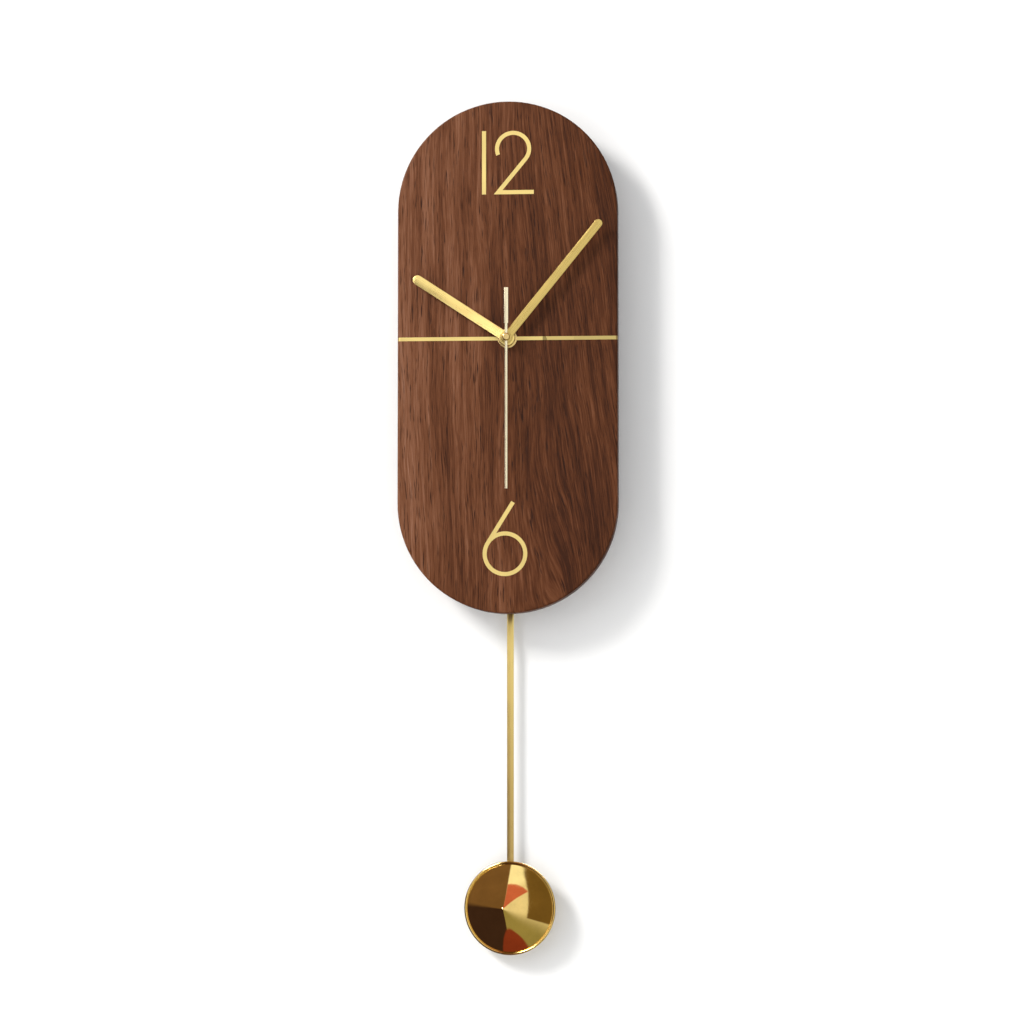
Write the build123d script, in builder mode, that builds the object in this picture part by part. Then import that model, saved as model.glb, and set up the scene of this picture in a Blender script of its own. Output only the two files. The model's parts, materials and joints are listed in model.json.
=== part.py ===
from build123d import *
from math import asin, cos, degrees, hypot, pi, radians, sin
import os

# Pendulum wall clock. +Z up, +X right as seen from the front, the front faces -Y.
# The origin is the centre of the hanger's keyhole on the wall plane y = 0.
os.makedirs("parts", exist_ok=True)

# ---------------------------------------------------------------- driving sizes
board_width = 150.0
board_height = 350.0
board_thickness = 14.0
board_top = 40.0
board_edge_round = 1.5
overall_height = 581.0
hub_drop = 163.0

# Fits
run_fit = 0.08
slide_fit = 0.06
contact_gap = 0.1
cell_gap = 0.4
hole_clearance = 0.4
wheel_gap = 0.9
pinion_gap = 1.2
pinion_over = 0.3

# Hand shaft
bush_radius = 3.9
hour_pipe_radius = 2.55
cannon_radius = 1.87
arbor_radius = 0.5
flange_radius = 5.3
flange_thickness = 0.9
rubber_thickness = 1.0
washer_thickness = 0.6
nut_thickness = 2.6
nut_wall = 1.7
bush_proud = 0.6

# Movement case, heights measured from the hub
case_half = 28.0
case_wall = 1.2
case_face = 1.5
wall_clearance = 1.0
cover_thickness = 2.0
housing_half = 17.0
housing_bottom = -66.0
battery_roof = -10.6
cell_radius = 7.1
cell_length = 49.0

# Wheels and bearings of the movement
wheel_thickness = 0.8
motion_thickness = 1.0
sleeve_length = 1.6
plate_thickness = 1.0

# Depths of the movement, from the wall forward
cover_back = -wall_clearance
cover_front = cover_back - cover_thickness
sleeve_back = cover_front - 0.6
plate_back = sleeve_back - sleeve_length
plate_front = plate_back - plate_thickness
middle_back = plate_front - wheel_gap
middle_front = middle_back - wheel_thickness
second_wheel_back = middle_front - wheel_gap
second_wheel_front = second_wheel_back - wheel_thickness
third_back = second_wheel_front - pinion_gap
third_front = third_back - wheel_thickness
centre_back = third_front - pinion_gap
centre_front = centre_back - wheel_thickness
motion_back = centre_front - 0.8
motion_front = motion_back - motion_thickness
hour_wheel_back = motion_front - wheel_gap
hour_wheel_front = hour_wheel_back - motion_thickness
cell_y = cover_front - cell_gap - cell_radius
case_floor = min(hour_wheel_front - 0.3 - flange_thickness, cell_y - cell_radius - cell_gap)
case_front = case_floor - case_face

# Board and hub
board_back = case_front - rubber_thickness
board_front = board_back - board_thickness
board_bottom = board_top - board_height
end_radius = board_width / 2
hub_z = board_top - hub_drop
hub_hole_radius = bush_radius + hole_clearance
bush_front = board_front - washer_thickness - nut_thickness - bush_proud

# Inlays
inlay_depth = 1.8
strip_height = 2.5
stroke = 2.8

# Bracket screws
screw_x = 29.0
screw_z = 6.0
screw_spots = ((-screw_x, screw_z), (-screw_x, -screw_z), (screw_x, screw_z), (screw_x, -screw_z))
screw_radius = 1.2
screw_depth = 7.0


def facing(depth, height=0.0, across=0.0):
    """Plane parallel to the wall, seen from the front: x right, y up, normal to the front."""
    return Plane(origin=(across, depth, height), x_dir=(1, 0, 0), z_dir=(0, -1, 0))


def pointing(depth, clock_degrees):
    """Plane through the hub whose x axis runs along a hand at a clock angle."""
    turn = radians(clock_degrees)
    return Plane(origin=(0, depth, hub_z), x_dir=(sin(turn), 0, cos(turn)), z_dir=(0, -1, 0))


def disc(radius, back, front, x=0.0, z=0.0, mode=Mode.ADD):
    """Cylinder across the movement, placed from the hub."""
    with BuildSketch(facing(back, hub_z)) as profile:
        with Locations((x, z)):
            Circle(radius)
    extrude(profile.sketch, amount=back - front, mode=mode)


def slab(x_low, x_high, z_low, z_high, back, front, mode=Mode.ADD):
    """Rectangular block across the movement, placed from the hub."""
    with BuildSketch(facing(back, hub_z)) as profile:
        with Locations(((x_low + x_high) / 2, (z_low + z_high) / 2)):
            Rectangle(x_high - x_low, z_high - z_low)
    extrude(profile.sketch, amount=back - front, mode=mode)


def tooth_points(teeth, module, tooth_at):
    """Outline of a clock gear: straight flanks from root to tip, narrow for backlash."""
    pitch_radius = module * teeth / 2
    flank = [
        (pitch_radius - 1.2 * module, 0.46),
        (pitch_radius, 0.36),
        (pitch_radius + 0.9 * module, 0.16),
    ]
    points = []
    for tooth in range(teeth):
        middle = radians(tooth_at) + 2 * pi * tooth / teeth
        for radius, share in flank:
            turn = middle - pi * share / teeth
            points.append((radius * cos(turn), radius * sin(turn)))
        for radius, share in reversed(flank):
            turn = middle + pi * share / teeth
            points.append((radius * cos(turn), radius * sin(turn)))
    return points


def gear(teeth, module, tooth_at, back, front, at):
    """Toothed disc on the axis at, placed from the hub."""
    with BuildSketch(facing(back, hub_z)) as profile:
        with Locations(at):
            Polygon(*tooth_points(teeth, module, tooth_at), align=None)
    extrude(profile.sketch, amount=back - front)


def save(builder, name):
    builder.part.label = name
    export_step(builder.part, f"parts/{name}.step")


# ---------------------------------------------------------------- board and inlays
def board_blank(mode=Mode.ADD):
    """Half-round ended board with its front edge rounded over."""
    with BuildSketch(facing(board_back, board_top - board_height / 2)) as outline:
        SlotOverall(board_height, board_width, rotation=90)
    blank = extrude(outline.sketch, amount=board_thickness, mode=Mode.PRIVATE)
    front_edges = blank.faces().sort_by(Axis.Y)[0].edges()
    add(blank.fillet(board_edge_round, front_edges), mode=mode)


inlay_back = board_front + inlay_depth
left_seams = [-end_radius, -42.2, -12.5, -hub_hole_radius]
right_seams = [hub_hole_radius, 24.1, 26.8, 45.3, end_radius]
seam_leans = {-42.2: 0.8, 26.8: -0.5}


def strip_shape(left, right, left_lean=0.0, right_lean=0.0):
    """Cross line strip between two seams, each seam leaning from foot to top."""
    half = strip_height / 2
    Polygon(
        (left - left_lean, -half),
        (right - right_lean, -half),
        (right + right_lean, half),
        (left + left_lean, half),
        align=None,
    )


def figure_one():
    with Locations((one_x, (figure_top + figure_foot) / 2)):
        Rectangle(stroke, figure_top - figure_foot)


# Figures, heights from the keyhole
figure_height = 43.6
figure_top = board_top - 20.5
figure_foot = figure_top - figure_height
one_x = -15.95
two_radius = 12.4
two_bowl = (3.93, figure_top - two_radius)
two_bowl_radius = two_radius - stroke / 2
two_foot = (-6.3, figure_foot + stroke / 2)
two_right = 18.1
two_start_turn = 202.0
six_height = 50.3
six_foot = board_bottom + 25.2
six_top = (3.9, six_foot + six_height)
six_radius = 15.2
six_bowl = (-1.6, six_foot + six_radius)
six_bowl_radius = six_radius - stroke / 2


def touching_line(start, centre, radius, side):
    """End of the straight line from start that just touches a circle on one side."""
    across = centre[0] - start[0]
    up = centre[1] - start[1]
    distance = hypot(across, up)
    spread = degrees(asin(radius / distance))
    aim = Vector(across, up, 0).normalized().rotate(Axis.Z, side * spread)
    reach = aim * (distance ** 2 - radius ** 2) ** 0.5
    return (start[0] + reach.X, start[1] + reach.Y)


two_touch = touching_line(two_foot, two_bowl, two_bowl_radius, -1)
six_touch = touching_line(six_top, six_bowl, six_bowl_radius, -1)


def stroke_line(start, end, before=0.0, after=0.0):
    """Straight stroke between two points, lengthened at either end."""
    run = Vector(end[0] - start[0], end[1] - start[1], 0)
    way = run.normalized()
    first = Vector(start[0], start[1], 0) - way * before
    last = Vector(end[0], end[1], 0) + way * after
    aside = way.rotate(Axis.Z, 90) * (stroke / 2)
    corners = [first + aside, first - aside, last - aside, last + aside]
    Polygon(*[(corner.X, corner.Y) for corner in corners], align=None)


def figure_two():
    touch_turn = degrees(asin((two_touch[1] - two_bowl[1]) / two_bowl_radius))
    with Locations(two_bowl):
        Circle(two_bowl_radius + stroke / 2)
        Circle(two_bowl_radius - stroke / 2, mode=Mode.SUBTRACT)
    # open the bowl between its left end and the touching stroke
    far = 3 * two_bowl_radius
    gap_turns = [two_start_turn, 240.0, 290.0, 360.0 + touch_turn]
    rim = [
        (two_bowl[0] + far * cos(radians(turn)), two_bowl[1] + far * sin(radians(turn)))
        for turn in gap_turns
    ]
    Polygon(two_bowl, *rim, align=None, mode=Mode.SUBTRACT)
    stroke_line(two_foot, two_touch, before=2 * stroke, after=0.05)
    # base bar from the diagonal to the right, and a level cut below it
    with Locations(((two_foot[0] + two_right) / 2, figure_foot + stroke / 2)):
        Rectangle(two_right - two_foot[0], stroke)
    with Locations((two_foot[0], figure_foot - 2 * stroke)):
        Rectangle(10 * stroke, 4 * stroke, mode=Mode.SUBTRACT)


def figure_six():
    with Locations(six_bowl):
        Circle(six_bowl_radius + stroke / 2)
    stroke_line(six_top, six_touch)
    with Locations(six_bowl):
        Circle(six_bowl_radius - stroke / 2, mode=Mode.SUBTRACT)


with BuildPart() as walnut_board:
    board_blank()
    # pockets for the cross line
    with BuildSketch(facing(inlay_back, hub_z)):
        strip_shape(-end_radius, end_radius)
    extrude(amount=inlay_depth, mode=Mode.SUBTRACT)
    # pockets for the figures
    with BuildSketch(facing(inlay_back)):
        figure_one()
        figure_six()
    extrude(amount=inlay_depth, mode=Mode.SUBTRACT)
    with BuildSketch(facing(inlay_back)):
        figure_two()
    extrude(amount=inlay_depth, mode=Mode.SUBTRACT)
    # hole for the hand shaft
    with BuildSketch(facing(board_back, hub_z)):
        Circle(hub_hole_radius)
    extrude(amount=board_thickness, mode=Mode.SUBTRACT)
    # blind holes for the bracket screws
    with BuildSketch(facing(board_back)):
        with Locations(*screw_spots):
            Circle(screw_radius)
    extrude(amount=screw_depth + 1.0, mode=Mode.SUBTRACT)
save(walnut_board, "walnut_board")

strip_ends = list(zip(left_seams, left_seams[1:])) + list(zip(right_seams, right_seams[1:]))
for number, (first, second) in enumerate(strip_ends, start=1):
    with BuildPart() as cross_strip:
        board_blank()
        with BuildSketch(facing(inlay_back, hub_z)):
            strip_shape(first, second, seam_leans.get(first, 0.0), seam_leans.get(second, 0.0))
        extrude(amount=inlay_depth, mode=Mode.INTERSECT)
    save(cross_strip, f"cross_strip_{number}")

for inlay_name, draw_figure in (("one", figure_one), ("two", figure_two), ("six", figure_six)):
    with BuildPart() as figure_inlay:
        with BuildSketch(facing(inlay_back)):
            draw_figure()
        extrude(amount=inlay_depth)
    save(figure_inlay, f"figure_{inlay_name}_inlay")

# ---------------------------------------------------------------- hand shaft
with BuildPart() as threaded_bush:
    disc(flange_radius, case_floor + flange_thickness, case_floor)
    disc(bush_radius, case_floor, bush_front)
    disc(hour_pipe_radius + run_fit, case_floor + flange_thickness, bush_front, mode=Mode.SUBTRACT)
save(threaded_bush, "threaded_bush")

with BuildPart() as rubber_washer:
    disc(hub_hole_radius + 4.7, case_front, board_back)
    disc(bush_radius, case_front, board_back, mode=Mode.SUBTRACT)
save(rubber_washer, "rubber_washer")

nut_back = board_front - washer_thickness
nut_front = nut_back - nut_thickness
with BuildPart() as front_washer:
    disc(bush_radius + nut_wall + 1.0, board_front, nut_back)
    disc(bush_radius, board_front, nut_back, mode=Mode.SUBTRACT)
save(front_washer, "front_washer")

with BuildPart() as front_nut:
    disc(bush_radius + nut_wall, nut_back, nut_front)
    chamfer(front_nut.faces().sort_by(Axis.Y)[0].edges(), length=0.5)
    disc(bush_radius, nut_back, nut_front, mode=Mode.SUBTRACT)
save(front_nut, "front_nut")

# ---------------------------------------------------------------- hands
hour_angle = 303.25
minute_angle = 39.0
second_angle = 180.0
hour_length = 76.0
hour_width = 6.5
minute_length = 102.0
minute_width = 5.5
second_length = 103.0
second_width = 1.7
tail_width = 2.7
tail_start = 9.3
tail_end = 33.7
blade = 0.8
hour_boss = 1.5
minute_boss = 1.3
hand_gap = 1.0
hour_back = bush_front - 0.6
hour_front = hour_back - hour_boss
minute_back = hour_front - hand_gap
minute_front = minute_back - minute_boss
minute_nut_front = minute_front - 0.9
second_back = minute_nut_front - hand_gap
second_blade = 0.5
second_front = second_back - second_blade
arbor_front = second_front - 0.6


def straight_blade(length, width, back, clock_degrees):
    """Flat hand with a rounded tip, running out from the hub."""
    with BuildSketch(pointing(back, clock_degrees)) as shape:
        with Locations((length / 2 - width / 4, 0)):
            Rectangle(length - width / 2, width)
        with Locations((length - width / 2, 0)):
            Circle(width / 2)
    extrude(shape.sketch, amount=blade)


with BuildPart() as hour_hand:
    disc(hour_pipe_radius + 2.75, hour_back, hour_front)
    straight_blade(hour_length, hour_width, hour_back - (hour_boss - blade) / 2, hour_angle)
    disc(hour_pipe_radius, hour_back, hour_front, mode=Mode.SUBTRACT)
save(hour_hand, "hour_hand")

with BuildPart() as minute_hand:
    disc(cannon_radius + 2.3, minute_back, minute_front)
    straight_blade(minute_length, minute_width, minute_back - (minute_boss - blade) / 2, minute_angle)
    disc(cannon_radius, minute_back, minute_front, mode=Mode.SUBTRACT)
save(minute_hand, "minute_hand")

with BuildPart() as minute_nut:
    disc(cannon_radius + 1.5, minute_front, minute_nut_front)
    chamfer(minute_nut.faces().sort_by(Axis.Y)[0].edges(), length=0.3)
    disc(arbor_radius + hole_clearance, minute_front, minute_nut_front, mode=Mode.SUBTRACT)
save(minute_nut, "minute_nut")

with BuildPart() as second_hand:
    disc(second_width / 2 + 1.15, second_back, second_front)
    with BuildSketch(pointing(second_back, second_angle)):
        with Locations(((second_length - tail_start) / 2, 0)):
            Rectangle(second_length + tail_start, second_width)
        with Locations((-(tail_start + tail_end) / 2, 0)):
            Rectangle(tail_end - tail_start, tail_width)
    extrude(amount=second_blade)
    disc(arbor_radius, second_back, second_front, mode=Mode.SUBTRACT)
save(second_hand, "second_hand")

cap_radius = 2.7
cap_height = 1.4
with BuildPart() as second_cap:
    disc(cap_radius, second_front, second_front - cap_height)
    fillet(second_cap.faces().sort_by(Axis.Y)[0].edges(), radius=0.8 * cap_height)
    disc(arbor_radius, second_front, arbor_front, mode=Mode.SUBTRACT)
save(second_cap, "second_cap")

# ---------------------------------------------------------------- wheels of the movement
def around_hub(reach, turn):
    """Spot at a distance from the hub and an angle from +X."""
    return (reach * cos(radians(turn)), reach * sin(radians(turn)))


third_reach = 7.2
third_turn = 150.0
motion_reach = 6.0
middle_reach = 5.88
middle_turn = 20.0
rotor_reach = 5.76
third_at = around_hub(third_reach, third_turn)
motion_at = (0.0, motion_reach)
knob_at = (0.0, 2 * motion_reach)
middle_at = around_hub(middle_reach, middle_turn)
rotor_at = around_hub(middle_reach + rotor_reach, middle_turn)

third_module = 2 * third_reach / (8 + 64)
centre_module = 2 * third_reach / (8 + 60)
motion_module = 2 * motion_reach / (12 + 36)
hour_module = 2 * motion_reach / (10 + 40)
middle_module = 2 * middle_reach / (8 + 48)
rotor_module = 2 * rotor_reach / (8 + 40)

end_play = 0.3
post_radius = 0.5
pivot_radius = 0.45
arbor_back = sleeve_back - end_play
cannon_back = motion_front - pinion_over
motion_pinion_front = hour_wheel_front - 0.15
third_pinion_front = centre_front - pinion_over
bearing_back = third_pinion_front - 0.7
rotor_pinion_back = plate_front - 0.7
rotor_magnet_back = middle_front - 1.3
rotor_magnet_front = rotor_magnet_back - 3.4
rotor_radius = 2.0

# 40-tooth hour wheel with the pipe that carries the hour hand
with BuildPart() as hour_wheel:
    gear(40, hour_module, -90.0 + 180.0 / 40, hour_wheel_back, hour_wheel_front, (0, 0))
    disc(hour_pipe_radius, hour_wheel_back, hour_front)
    disc(cannon_radius + run_fit, hour_wheel_back, hour_front, mode=Mode.SUBTRACT)
save(hour_wheel, "hour_wheel")

# 60-tooth centre wheel, 12-tooth pinion and the cannon pipe of the minute hand
with BuildPart() as centre_wheel:
    gear(60, centre_module, third_turn, centre_back, centre_front, (0, 0))
    gear(12, motion_module, 90.0, centre_front, cannon_back, (0, 0))
    disc(cannon_radius, cannon_back, minute_front)
    disc(arbor_radius + run_fit, centre_back, minute_front, mode=Mode.SUBTRACT)
save(centre_wheel, "centre_wheel")

# 36-tooth motion wheel and 10-tooth pinion, turning on a post of the case
with BuildPart() as motion_wheel:
    gear(36, motion_module, -90.0 + 180.0 / 36, motion_back, motion_front, motion_at)
    gear(10, hour_module, -90.0, motion_front, motion_pinion_front, motion_at)
    disc(post_radius + run_fit, motion_back, motion_pinion_front, *motion_at, mode=Mode.SUBTRACT)
save(motion_wheel, "motion_wheel")

# 64-tooth third wheel and 8-tooth pinion
with BuildPart() as third_wheel:
    gear(64, third_module, third_turn + 180.0 + 180.0 / 64, third_back, third_front, third_at)
    gear(8, centre_module, third_turn + 180.0 + 180.0 / 8, third_front, third_pinion_front, third_at)
    disc(pivot_radius, arbor_back, third_back, *third_at)
    disc(pivot_radius, third_pinion_front, bearing_back - 1.0, *third_at)
save(third_wheel, "third_wheel")

# 48-tooth second wheel, 8-tooth pinion and the arbor of the second hand
second_pinion_front = third_front - pinion_over
with BuildPart() as second_wheel:
    gear(48, middle_module, middle_turn + 180.0 / 48, second_wheel_back, second_wheel_front, (0, 0))
    gear(8, third_module, third_turn, second_wheel_front, second_pinion_front, (0, 0))
    disc(arbor_radius, second_pinion_front, arbor_front)
    disc(arbor_radius, arbor_back, second_wheel_back)
save(second_wheel, "second_wheel")

# 40-tooth middle wheel and 8-tooth pinion
middle_pinion_front = second_wheel_front - pinion_over
with BuildPart() as middle_wheel:
    gear(40, rotor_module, middle_turn + 180.0 / 40, middle_back, middle_front, middle_at)
    gear(8, middle_module, middle_turn + 180.0, middle_front, middle_pinion_front, middle_at)
    disc(arbor_radius, arbor_back, middle_back, *middle_at)
save(middle_wheel, "middle_wheel")

# round magnet rotor with an 8-tooth pinion
with BuildPart() as rotor:
    disc(rotor_radius, rotor_magnet_back, rotor_magnet_front, *rotor_at)
    gear(8, rotor_module, middle_turn + 180.0, rotor_pinion_back, rotor_magnet_back, rotor_at)
    disc(arbor_radius, arbor_back, rotor_pinion_back, *rotor_at)
save(rotor, "rotor")

# hand-setting knob: a 12-tooth pinion below, a finger disc in the cover's recess
knob_shaft = 0.9
knob_radius = 7.0
knob_back = cover_back - 0.3
knob_notches = 24
with BuildPart() as setting_knob:
    disc(knob_radius, knob_back, cover_front, *knob_at)
    for notch in range(knob_notches):
        turn = 2 * pi * notch / knob_notches
        groove_at = (knob_at[0] + knob_radius * cos(turn), knob_at[1] + knob_radius * sin(turn))
        disc(0.4, knob_back, cover_front, *groove_at, mode=Mode.SUBTRACT)
    disc(knob_shaft, cover_front, motion_back + 0.4, *knob_at)
    gear(12, motion_module, -90.0, motion_back + 0.4, motion_front - 0.4, knob_at)
save(setting_knob, "setting_knob")

# ---------------------------------------------------------------- movement case
column_spots = ((-15.5, 14.5), (-15.5, -7.6), (8.5, 15.5), (8.0, -7.6))
stator_spots = ((12.85, 14.4), (12.85, -8.2))
board_spots = ((-14.0, 22.0), (14.0, 22.0))
cover_spots = ((-24.0, 24.0), (24.0, 24.0), (-13.0, -62.0), (13.0, -62.0))
hanger_z = -34.0
peg_z = -70.0
coil_z = -52.0
pin_radius = 1.0
pin_front = case_floor + 1.0
sleeve_radius = pin_radius + 1.6
column_radius = 2.0
column_screw = 0.7
cover_screw = 0.9
swing_half = 9.0
inside = case_half - case_wall
housing_inside = housing_half - case_wall
housing_floor = housing_bottom + case_wall
bay_low = battery_roof - case_wall - 2 * cell_radius - 2 * cell_gap
case_low = bay_low - case_wall
stator_back = rotor_magnet_back - 1.1
stator_front = stator_back - 1.2
circuit_back = plate_front - 1.8
circuit_front = circuit_back - 1.0


def case_outline():
    """Square movement with the narrower pendulum housing below it."""
    with Locations((0, (case_half + case_low) / 2)):
        Rectangle(2 * case_half, case_half - case_low)
    with Locations((0, (housing_bottom + case_low) / 2)):
        Rectangle(2 * housing_half, case_low - housing_bottom)


with BuildPart() as movement_front_case:
    with BuildSketch(facing(case_floor, hub_z)):
        case_outline()
    extrude(amount=case_face)
    disc(bush_radius, case_floor, case_front, mode=Mode.SUBTRACT)
save(movement_front_case, "movement_front_case")

# walls round the train room, the battery bay and the pendulum room
with BuildPart() as movement_frame:
    with BuildSketch(facing(cover_front, hub_z)):
        case_outline()
    extrude(amount=cover_front - case_floor)
    slab(-inside, inside, battery_roof, inside, cover_front, case_floor, mode=Mode.SUBTRACT)
    slab(-inside, inside, bay_low, battery_roof - case_wall, cover_front, case_floor, mode=Mode.SUBTRACT)
    slab(-housing_inside, housing_inside, housing_floor, case_low, cover_front, case_floor,
         mode=Mode.SUBTRACT)
    # slot the hanger swings in
    slab(-swing_half, swing_half, housing_bottom, housing_floor, cover_front, case_floor + 4.5,
         mode=Mode.SUBTRACT)
save(movement_frame, "movement_frame")

# posts that stand on the inside of the front case
with BuildPart() as case_posts:
    for spot in column_spots:
        disc(column_radius, plate_front, case_floor, *spot)
        disc(column_screw, plate_front, plate_front - 5.0, *spot, mode=Mode.SUBTRACT)
    for spot in stator_spots:
        disc(1.4, stator_front, case_floor, *spot)
    for spot in board_spots:
        disc(1.8, circuit_front, case_floor, *spot)
    for spot in cover_spots:
        disc(2.2, cover_front, case_floor, *spot)
        disc(cover_screw, cover_front, cover_front - 6.0, *spot, mode=Mode.SUBTRACT)
    # post of the motion wheel and front bearing of the third wheel
    disc(post_radius, motion_back + 0.2, case_floor, *motion_at)
    disc(1.1, bearing_back, case_floor, *third_at)
    disc(pivot_radius + run_fit, bearing_back, bearing_back - 1.2, *third_at, mode=Mode.SUBTRACT)
    # seat of the pendulum pivot pin
    disc(sleeve_radius, case_floor + 4.0, case_floor, 0, hanger_z)
    disc(pin_radius, case_floor + 4.0, pin_front, 0, hanger_z, mode=Mode.SUBTRACT)
save(case_posts, "case_posts")

knob_window = knob_radius + 0.6
cover_head = 1.8
head_recess = 0.9
head_slot_depth = 0.4
head_slot_width = 0.4
with BuildPart() as movement_rear_cover:
    with BuildSketch(facing(cover_back, hub_z)):
        case_outline()
    extrude(amount=cover_thickness)
    slab(0.6 - inside, inside - 0.6, bay_low + 0.2, battery_roof - 1.4, cover_back, cover_front,
         mode=Mode.SUBTRACT)
    disc(knob_window, cover_back, cover_front, *knob_at, mode=Mode.SUBTRACT)
    slab(-swing_half, swing_half, housing_bottom, housing_floor, cover_back, cover_front, mode=Mode.SUBTRACT)
    for spot in cover_spots:
        disc(cover_screw + 0.2, cover_back, cover_front, *spot, mode=Mode.SUBTRACT)
        disc(cover_head + 0.2, cover_back, cover_back - head_recess, *spot, mode=Mode.SUBTRACT)
save(movement_rear_cover, "movement_rear_cover")


def screw_slot(spot, half_length, top):
    """Screwdriver slot across a screw head."""
    slab(spot[0] - half_length, spot[0] + half_length,
         spot[1] - head_slot_width / 2, spot[1] + head_slot_width / 2,
         top, top - head_slot_depth, mode=Mode.SUBTRACT)


head_top = cover_back - 0.1
with BuildPart() as cover_screws:
    for spot in cover_spots:
        disc(cover_head, head_top, cover_back - head_recess, *spot)
        disc(cover_screw, cover_back - head_recess, cover_front - 5.0, *spot)
        screw_slot(spot, 1.3, head_top)
save(cover_screws, "cover_screws")

# plate that carries the rear bearings of the train
with BuildPart() as train_plate:
    slab(-18.0, 16.6, -10.0, 17.7, plate_back, plate_front)
    for spot in ((0, 0), third_at, middle_at, rotor_at, knob_at):
        disc(1.5, sleeve_back, plate_back, *spot)
    disc(knob_shaft + run_fit, sleeve_back, plate_front, *knob_at, mode=Mode.SUBTRACT)
    for spot in ((0, 0), middle_at, rotor_at):
        disc(arbor_radius + run_fit, sleeve_back, plate_front, *spot, mode=Mode.SUBTRACT)
    disc(pivot_radius + run_fit, sleeve_back, plate_front, *third_at, mode=Mode.SUBTRACT)
    for spot in column_spots:
        disc(column_screw + 0.2, plate_back, plate_front, *spot, mode=Mode.SUBTRACT)
save(train_plate, "train_plate")

with BuildPart() as train_screws:
    for spot in column_spots:
        disc(2 * column_screw, plate_back + 0.8, plate_back, *spot)
        disc(column_screw, plate_back, plate_front - 4.0, *spot)
        screw_slot(spot, 1.0, plate_back + 0.8)
save(train_screws, "train_screws")

# ---------------------------------------------------------------- stepping motor and circuit
arm_low = -9.6
arm_high = 15.6
arm_width = 2.4
neck_left = 11.0
neck_right = 14.7
arm_right = 22.4
with BuildPart() as stator:
    slab(7.2, neck_right, 0.0, 7.9, stator_back, stator_front)
    slab(neck_left, neck_right, 7.0, arm_high, stator_back, stator_front)
    slab(neck_left, arm_right, arm_high - arm_width, arm_high, stator_back, stator_front)
    slab(neck_left, neck_right, arm_low, 1.0, stator_back, stator_front)
    slab(neck_left, arm_right, arm_low, arm_low + arm_width, stator_back, stator_front)
    disc(rotor_radius + hole_clearance, stator_back, stator_front, *rotor_at, mode=Mode.SUBTRACT)
save(stator, "stator")

coil_x = 21.2
core_half = 1.2
tube_half = 1.9
flange_half = 3.8
wire_half = 3.4
bobbin_low = -7.0
bobbin_high = 13.0
bobbin_flange = 1.0
core_back = stator_back + 1.2
coil_mid = (core_back + stator_back) / 2
wire_low = bobbin_low + bobbin_flange
wire_high = bobbin_high - bobbin_flange


def coil_slab(half, low, high, half_depth, mode=Mode.ADD):
    """Block centred on the coil's axis."""
    slab(coil_x - half, coil_x + half, low, high, coil_mid + half_depth, coil_mid - half_depth, mode=mode)


with BuildPart() as coil_core:
    coil_slab(core_half, arm_low, arm_high, 0.6)
save(coil_core, "coil_core")

with BuildPart() as coil_bobbin:
    coil_slab(tube_half, bobbin_low, bobbin_high, 1.3)
    coil_slab(flange_half, bobbin_low, wire_low, 3.1)
    coil_slab(flange_half, wire_high, bobbin_high, 3.1)
    coil_slab(core_half, bobbin_low, bobbin_high, 0.6, mode=Mode.SUBTRACT)
save(coil_bobbin, "coil_bobbin")

with BuildPart() as coil_winding:
    coil_slab(wire_half, wire_low, wire_high, 2.7)
    fillet(coil_winding.edges().filter_by(Axis.Z), radius=1.2)
    coil_slab(tube_half, wire_low, wire_high, 1.3, mode=Mode.SUBTRACT)
save(coil_winding, "coil_winding")

circuit_low = 18.2
circuit_high = 26.2
with BuildPart() as circuit_board:
    slab(-20.0, 20.0, circuit_low, circuit_high, circuit_back, circuit_front)
save(circuit_board, "circuit_board")

with BuildPart() as ic_chip:
    slab(-7.0, -2.0, circuit_low + 1.8, circuit_low + 6.2, circuit_back + 1.2, circuit_back)
save(ic_chip, "ic_chip")

can_radius = 1.0
crystal_z = circuit_low + 4.0
with BuildPart() as quartz_crystal:
    can_place = (5.0, circuit_back + can_radius, hub_z + crystal_z)
    with BuildSketch(Plane(origin=can_place, x_dir=(0, 1, 0), z_dir=(1, 0, 0))):
        Circle(can_radius)
    extrude(amount=6.5)
    slab(4.4, 12.0, crystal_z - 0.4, crystal_z + 0.4, circuit_back + 0.4, circuit_back)
save(quartz_crystal, "quartz_crystal")

# ---------------------------------------------------------------- battery and contacts
cell_z = hub_z + bay_low + cell_gap + cell_radius
cell_nib = 1.4
cell_left = -(cell_length + 0.2) / 2
contact_sheet = 0.4
contact_low = bay_low + 2.8
contact_high = battery_roof - 4.0


def along_cell(x):
    """Plane across the cell's axis at a distance from the middle."""
    return Plane(origin=(x, cell_y, cell_z), x_dir=(0, 1, 0), z_dir=(1, 0, 0))


with BuildPart() as aa_battery:
    with BuildSketch(along_cell(cell_left)):
        Circle(cell_radius)
    extrude(amount=cell_length)
    fillet(aa_battery.edges().filter_by(GeomType.CIRCLE), radius=0.5)
    with BuildSketch(along_cell(cell_left + cell_length)):
        Circle(2.6)
    extrude(amount=cell_nib)
save(aa_battery, "aa_battery")

nib_end = cell_left + cell_length + cell_nib + contact_gap
nib_z = cell_z - hub_z
with BuildPart() as battery_contact_positive:
    slab(inside - contact_sheet, inside, contact_low, contact_high, cover_front - 2.0, case_floor + 2.5)
    slab(nib_end, inside - contact_sheet, nib_z - 1.7, nib_z + 1.7, cell_y + 2.5, cell_y - 2.5)
save(battery_contact_positive, "battery_contact_positive")

with BuildPart() as battery_contact_negative:
    slab(-inside, -inside + contact_sheet, contact_low, contact_high, cover_front - 2.0, case_floor + 2.5)
    with BuildSketch(along_cell(-inside + contact_sheet)):
        Circle(4.4)
    with BuildSketch(along_cell(cell_left - contact_gap)):
        Circle(2.2)
    loft()
save(battery_contact_negative, "battery_contact_negative")

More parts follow.
